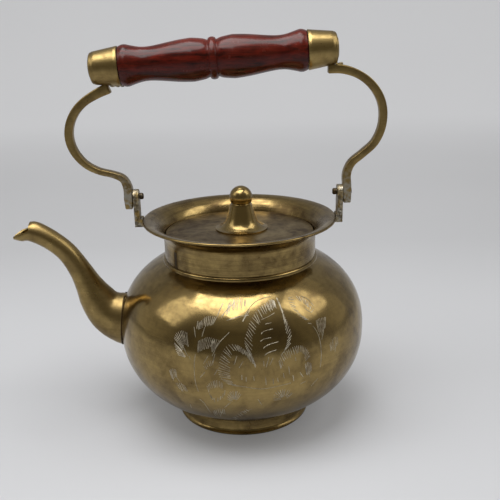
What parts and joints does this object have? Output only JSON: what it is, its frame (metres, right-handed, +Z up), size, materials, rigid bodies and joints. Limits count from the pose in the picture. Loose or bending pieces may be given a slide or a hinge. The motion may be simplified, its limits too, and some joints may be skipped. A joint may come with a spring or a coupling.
{
  "type": "teapot",
  "caption": "Round-bodied metal teapot with a flared collar, curved beaked spout, lift-off lid and a swinging handle with a turned wooden grip.",
  "frame": {"origin": "centre of the foot ring, in the plane of the table", "axes": "+Z up, the spout points along -X, +Y is the back as the picture shows it"},
  "size_m": [0.1863, 0.126, 0.1941],
  "materials": {
    "engraved_brass": "aged polished sheet with hand-cut foliage",
    "spun_brass": "aged, turned with fine rings",
    "spout_brass": "aged, drawn and filed",
    "lid_brass": "dull, scratched and browned",
    "turned_brass": "polished by handling",
    "steel_fixing": "plain and slightly dull",
    "soldered_brass": "stained grey by soft solder",
    "pin_brass": "darkened",
    "cast_brass": "filed bar, dulled",
    "ferrule_brass": "aged, worn bright on the crown",
    "lacquered_wood": "turned, stained dark red and lacquered"
  },
  "bodies": {
    "pot": {"bulb_upper": "engraved_brass", "bulb_lower": "engraved_brass", "foot_ring": "spun_brass", "neck_collar": "spun_brass", "spout": "spout_brass", "left_lug": "soldered_brass", "right_lug": "soldered_brass"},
    "lid": {"lid_plate": "lid_brass", "lid_skirt": "lid_brass", "lid_knob": "turned_brass", "knob_washer": "steel_fixing", "knob_screw": "steel_fixing"},
    "handle": {"left_arm": "cast_brass", "right_arm": "cast_brass", "left_pivot_pin": "pin_brass", "right_pivot_pin": "pin_brass", "left_ferrule": "ferrule_brass", "right_ferrule": "ferrule_brass", "left_ferrule_cap": "ferrule_brass", "right_ferrule_cap": "ferrule_brass", "wooden_grip": "lacquered_wood"}
  },
  "joints": [
    {"name": "handle_swing", "type": "hinge", "parent": "pot", "child": "handle", "pos_m": [0, 0, 0.1175], "axis": [1, 0, 0], "range_deg": [-118.5, 118.5]},
    {"name": "lid_lift", "type": "slide", "parent": "pot", "child": "lid", "axis": [0, 0, 1], "range_m": [0, 0.042]}
  ]
}
